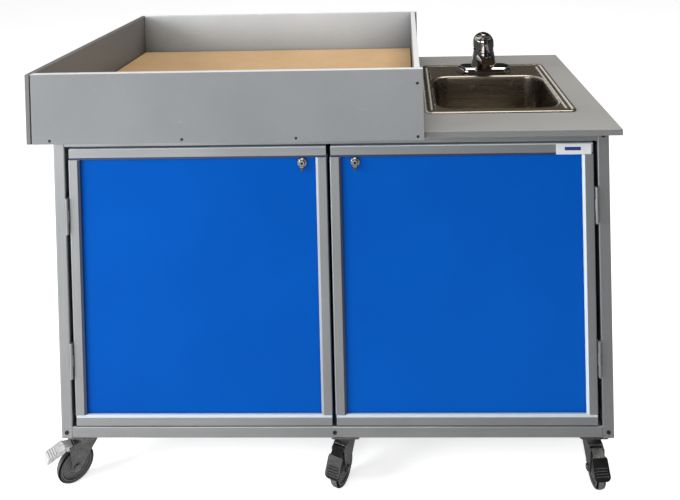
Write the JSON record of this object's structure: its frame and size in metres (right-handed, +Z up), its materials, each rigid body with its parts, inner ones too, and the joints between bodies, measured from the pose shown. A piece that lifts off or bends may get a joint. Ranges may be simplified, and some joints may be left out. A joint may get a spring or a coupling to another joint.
{
  "type": "portable handwash sink",
  "caption": "Wheeled two-door aluminium-framed cabinet with a walled changing tray, a drop-in sink, a lever faucet and its own water tanks.",
  "frame": {"origin": "on the floor, under the middle of the whole unit (the middle of its bounding box)", "axes": "+X towards the sink end, +Y from the doors to the back, +Z up"},
  "size_m": [1.2826, 0.6354, 0.9397],
  "materials": {
    "frame_aluminium": "clear anodised, satin",
    "door_aluminium": "clear anodised, satin",
    "blue_panel": "smooth blue laminate, low sheen",
    "floor_board": "grey board",
    "worktop_board": "fine grey solid board, matte",
    "tray_panel": "fine grey solid board, matte",
    "tan_board": "unfinished tan board",
    "black_screw": "black oxide",
    "stainless": "brushed stainless sheet",
    "chrome_plate": "bright chrome plate",
    "tank_plastic": "natural translucent polyethylene",
    "cap_plastic": "moulded cap",
    "waste_hose_plastic": "grey ribbed hose",
    "water_line_plastic": "clear vinyl tube",
    "pump_metal": "black painted motor and pump head",
    "heater_enamel": "white moulded casing",
    "knob_plastic": "black knob",
    "power_box_plastic": "black moulded box",
    "rocker_plastic": "red rocker",
    "hinge_steel": "bright plated steel",
    "caster_zinc": "zinc plated pressed steel",
    "pedal_steel": "plated steel, ridged",
    "hub_plastic": "grey moulded wheel core",
    "tyre_rubber": "black rubber tread"
  },
  "bodies": {
    "cabinet": {"back_panel": "blue_panel", "caster_plates": "caster_zinc", "corner_posts": "frame_aluminium", "faucet_body": "chrome_plate", "fixing_screws": "black_screw", "floor_panels": "floor_board", "frame_hinge_leaves": "hinge_steel", "frame_rails": "frame_aluminium", "fresh_tank": "tank_plastic", "heater_shell": "heater_enamel", "power_box": "power_box_plastic", "side_panels": "blue_panel", "sink_basin": "stainless", "sink_drain": "stainless", "tray_back_panel": "tray_panel", "tray_floor_board": "tan_board", "tray_front_panel": "tray_panel", "tray_left_panel": "tray_panel", "tray_right_panel": "tray_panel", "waste_hose": "waste_hose_plastic", "waste_tank": "tank_plastic", "water_lines": "water_line_plastic", "water_pump": "pump_metal", "worktop": "worktop_board"},
    "left_door": {"left_door_frame": "door_aluminium", "left_door_panel": "blue_panel", "left_lock_barrel": "chrome_plate", "left_hinge_leaves": "hinge_steel"},
    "right_door": {"right_door_frame": "door_aluminium", "right_door_panel": "blue_panel", "right_lock_barrel": "chrome_plate", "right_hinge_leaves": "hinge_steel"},
    "left_lock": {"left_lock_turn": "chrome_plate"},
    "right_lock": {"right_lock_turn": "chrome_plate"},
    "faucet_stem_body": {"faucet_stem": "chrome_plate"},
    "faucet_handle_body": {"faucet_handle": "chrome_plate"},
    "fresh_cap": {"fresh_tank_cap": "cap_plastic"},
    "heater_dial": {"heater_knob": "knob_plastic"},
    "power_rocker": {"rocker_switch": "rocker_plastic"},
    "front_left_swivel": {"front_left_fork": "caster_zinc"},
    "front_left_wheel": {"front_left_wheel_hub": "hub_plastic", "front_left_tyre": "tyre_rubber"},
    "front_left_brake": {"front_left_pedal": "pedal_steel"},
    "front_middle_swivel": {"front_middle_fork": "caster_zinc"},
    "front_middle_wheel": {"front_middle_wheel_hub": "hub_plastic", "front_middle_tyre": "tyre_rubber"},
    "front_middle_brake": {"front_middle_pedal": "pedal_steel"},
    "front_right_swivel": {"front_right_fork": "caster_zinc"},
    "front_right_wheel": {"front_right_wheel_hub": "hub_plastic", "front_right_tyre": "tyre_rubber"},
    "front_right_brake": {"front_right_pedal": "pedal_steel"},
    "rear_left_swivel": {"rear_left_fork": "caster_zinc"},
    "rear_left_wheel": {"rear_left_wheel_hub": "hub_plastic", "rear_left_tyre": "tyre_rubber"},
    "rear_middle_swivel": {"rear_middle_fork": "caster_zinc"},
    "rear_middle_wheel": {"rear_middle_wheel_hub": "hub_plastic", "rear_middle_tyre": "tyre_rubber"},
    "rear_right_swivel": {"rear_right_fork": "caster_zinc"},
    "rear_right_wheel": {"rear_right_wheel_hub": "hub_plastic", "rear_right_tyre": "tyre_rubber"}
  },
  "joints": [
    {"name": "left_door_hinge", "type": "hinge", "parent": "cabinet", "child": "left_door", "pos_m": [-0.58025, -0.273, 0.445], "axis": [0, 0, -1], "range_deg": [0, 170]},
    {"name": "right_door_hinge", "type": "hinge", "parent": "cabinet", "child": "right_door", "pos_m": [0.59295, -0.273, 0.445], "axis": [0, 0, 1], "range_deg": [0, 170]},
    {"name": "left_lock_turns", "type": "hinge", "parent": "left_door", "child": "left_lock", "pos_m": [-0.05265, -0.26, 0.72], "axis": [0, 1, 0], "range_deg": [0, 90]},
    {"name": "right_lock_turns", "type": "hinge", "parent": "right_door", "child": "right_lock", "pos_m": [0.06535, -0.26, 0.72], "axis": [0, -1, 0], "range_deg": [0, 90]},
    {"name": "faucet_swing", "type": "hinge", "parent": "cabinet", "child": "faucet_stem_body", "pos_m": [0.40035, 0.132, 0.884], "axis": [0, 0, 1], "range_deg": [-45, 45]},
    {"name": "faucet_lift", "type": "hinge", "parent": "faucet_stem_body", "child": "faucet_handle_body", "pos_m": [0.40035, 0.132, 0.884], "axis": [-1, 0, 0], "range_deg": [0, 25]},
    {"name": "fresh_cap_turns", "type": "hinge", "parent": "cabinet", "child": "fresh_cap", "pos_m": [0.14835, -0.034, 0.44], "axis": [0, 0, 1], "range_deg": [0, 270]},
    {"name": "heater_dial_turns", "type": "hinge", "parent": "cabinet", "child": "heater_dial", "pos_m": [-0.41365, -0.07, 0.1907], "axis": [0, -1, 0], "range_deg": [0, 270]},
    {"name": "power_rocker_tilts", "type": "hinge", "parent": "cabinet", "child": "power_rocker", "pos_m": [-0.15865, 0.2091, 0.42], "axis": [1, 0, 0], "range_deg": [-8, 8]},
    {"name": "front_left_swivels", "type": "hinge", "parent": "cabinet", "child": "front_left_swivel", "pos_m": [-0.56615, -0.238, 0.092], "axis": [0, 0, 1], "continuous": true},
    {"name": "front_left_wheel_rolls", "type": "hinge", "parent": "front_left_swivel", "child": "front_left_wheel", "pos_m": [-0.58663, -0.2571, 0.0381], "axis": [-0.682, 0.7314, 0], "continuous": true},
    {"name": "front_left_brake_presses", "type": "hinge", "parent": "front_left_swivel", "child": "front_left_brake", "pos_m": [-0.59248, -0.26255, 0.084], "axis": [0.682, -0.7314, 0], "range_deg": [0, 42]},
    {"name": "front_middle_swivels", "type": "hinge", "parent": "cabinet", "child": "front_middle_swivel", "pos_m": [0.02935, -0.238, 0.092], "axis": [0, 0, 1], "continuous": true},
    {"name": "front_middle_wheel_rolls", "type": "hinge", "parent": "front_middle_swivel", "child": "front_middle_wheel", "pos_m": [0.01886, -0.26396, 0.0381], "axis": [-0.9272, 0.3746, 0], "continuous": true},
    {"name": "front_middle_brake_presses", "type": "hinge", "parent": "front_middle_swivel", "child": "front_middle_brake", "pos_m": [0.01586, -0.27138, 0.084], "axis": [0.9272, -0.3746, 0], "range_deg": [-42, 0]},
    {"name": "front_right_swivels", "type": "hinge", "parent": "cabinet", "child": "front_right_swivel", "pos_m": [0.57885, -0.238, 0.092], "axis": [0, 0, 1], "continuous": true},
    {"name": "front_right_wheel_rolls", "type": "hinge", "parent": "front_right_swivel", "child": "front_right_wheel", "pos_m": [0.5808, -0.26593, 0.0381], "axis": [-0.9976, -0.0698, 0], "continuous": true},
    {"name": "front_right_brake_presses", "type": "hinge", "parent": "front_right_swivel", "child": "front_right_brake", "pos_m": [0.58136, -0.27391, 0.084], "axis": [0.9976, 0.0698, 0], "range_deg": [-42, 0]},
    {"name": "rear_left_swivels", "type": "hinge", "parent": "cabinet", "child": "rear_left_swivel", "pos_m": [-0.56615, 0.248, 0.092], "axis": [0, 0, 1], "continuous": true},
    {"name": "rear_left_wheel_rolls", "type": "hinge", "parent": "rear_left_swivel", "child": "rear_left_wheel", "pos_m": [-0.57573, 0.27431, 0.0381], "axis": [0.9397, 0.342, 0], "continuous": true},
    {"name": "rear_middle_swivels", "type": "hinge", "parent": "cabinet", "child": "rear_middle_swivel", "pos_m": [0.02935, 0.248, 0.092], "axis": [0, 0, 1], "continuous": true},
    {"name": "rear_middle_wheel_rolls", "type": "hinge", "parent": "rear_middle_swivel", "child": "rear_middle_wheel", "pos_m": [0.03325, 0.27573, 0.0381], "axis": [0.9903, -0.1392, 0], "continuous": true},
    {"name": "rear_right_swivels", "type": "hinge", "parent": "cabinet", "child": "rear_right_swivel", "pos_m": [0.57885, 0.248, 0.092], "axis": [0, 0, 1], "continuous": true},
    {"name": "rear_right_wheel_rolls", "type": "hinge", "parent": "rear_right_swivel", "child": "rear_right_wheel", "pos_m": [0.59068, 0.27338, 0.0381], "axis": [0.9063, -0.4226, 0], "continuous": true}
  ]
}
